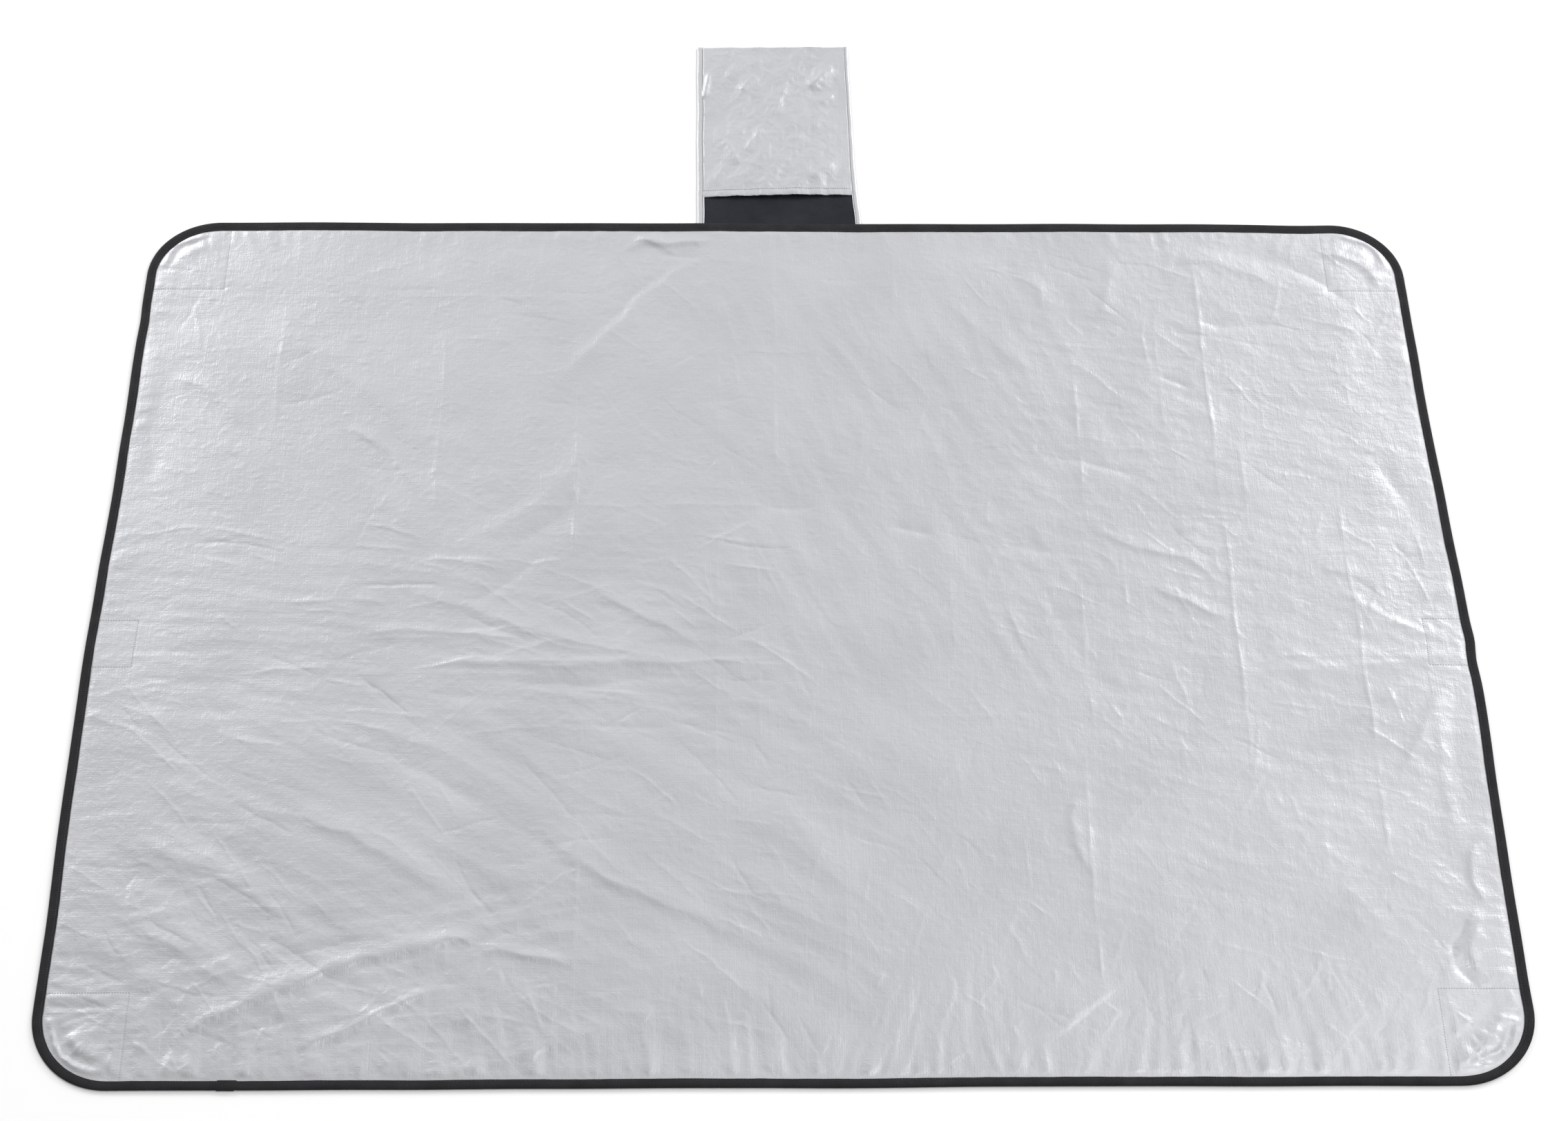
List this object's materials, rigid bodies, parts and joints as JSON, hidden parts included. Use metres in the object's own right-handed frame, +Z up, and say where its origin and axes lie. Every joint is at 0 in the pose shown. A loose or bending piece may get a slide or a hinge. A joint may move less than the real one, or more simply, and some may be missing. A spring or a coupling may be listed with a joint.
{
  "type": "folding blanket",
  "caption": "Flat foldable ground blanket with a silver coated backing, taped edges and a sewn-on storage pouch at one long edge.",
  "frame": {"origin": "centre of the whole part's footprint, pouch included, at the ground it lies on", "axes": "+X along the blanket's long edges, to the right with the pouch at the top; +Y towards the pouch; +Z up, out of the silver side"},
  "size_m": [2, 1.893, 0.0091],
  "materials": {
    "silver_backing": "metallic silver coated woven cloth, creased, semi-matt",
    "wadding": "soft white fibre wadding, never seen from outside",
    "face_fabric": null,
    "binding_tape": "near-black ribbed polyester tape, low sheen, sewn with black thread",
    "patch_cloth": "near-black woven cloth, matt",
    "pouch_silver": "metallic silver coated woven cloth, creased, semi-matt",
    "pouch_lining": "near-black smooth woven lining, low sheen"
  },
  "bodies": {
    "panel_1": {"backing_panel_1": "silver_backing", "wadding_panel_1": "wadding", "face_panel_1": "face_fabric", "binding_far": "binding_tape", "corner_patch_far_left": "patch_cloth", "corner_patch_far_right": "patch_cloth"},
    "panel_2": {"backing_panel_2": "silver_backing", "wadding_panel_2": "wadding", "face_panel_2": "face_fabric", "binding_left_2": "binding_tape", "binding_right_2": "binding_tape"},
    "panel_3": {"backing_panel_3": "silver_backing", "wadding_panel_3": "wadding", "face_panel_3": "face_fabric", "binding_left_3": "binding_tape", "binding_right_3": "binding_tape", "side_patch_left": "patch_cloth", "side_patch_right": "patch_cloth"},
    "panel_4": {"backing_panel_4": "silver_backing", "wadding_panel_4": "wadding", "face_panel_4": "face_fabric", "binding_near": "binding_tape", "binding_lap": "binding_tape", "corner_patch_near_left": "patch_cloth", "corner_patch_near_right": "patch_cloth"},
    "pouch": {"pouch_back": "pouch_silver", "pouch_lining": "pouch_lining", "pouch_front": "pouch_silver", "pouch_mouth_hem": "pouch_silver", "pouch_hem_left": "pouch_silver", "pouch_hem_right": "pouch_silver", "pouch_top_fold": "pouch_silver"}
  },
  "joints": [
    {"name": "quarter_fold", "type": "hinge", "parent": "panel_1", "child": "panel_2", "pos_m": [0, 0.1785, 0.0128], "axis": [-1, 0, 0], "range_deg": [0, 179.95]},
    {"name": "half_fold", "type": "hinge", "parent": "panel_2", "child": "panel_3", "pos_m": [0, -0.1965, 0.0062], "axis": [-1, 0, 0], "range_deg": [0, 179.95]},
    {"name": "quarter_fold_under", "type": "hinge", "parent": "panel_3", "child": "panel_4", "pos_m": [0, -0.5715, -0.0004], "axis": [-1, 0, 0], "range_deg": [-179.95, 0]},
    {"name": "pouch_fold", "type": "hinge", "parent": "panel_1", "child": "pouch", "pos_m": [0, 0.5535, 0.0176], "axis": [1, 0, 0], "range_deg": [0, 179.95]}
  ],
  "couplings": [
    {"joint": "quarter_fold_under", "follows": "quarter_fold", "ratio": -1}
  ]
}
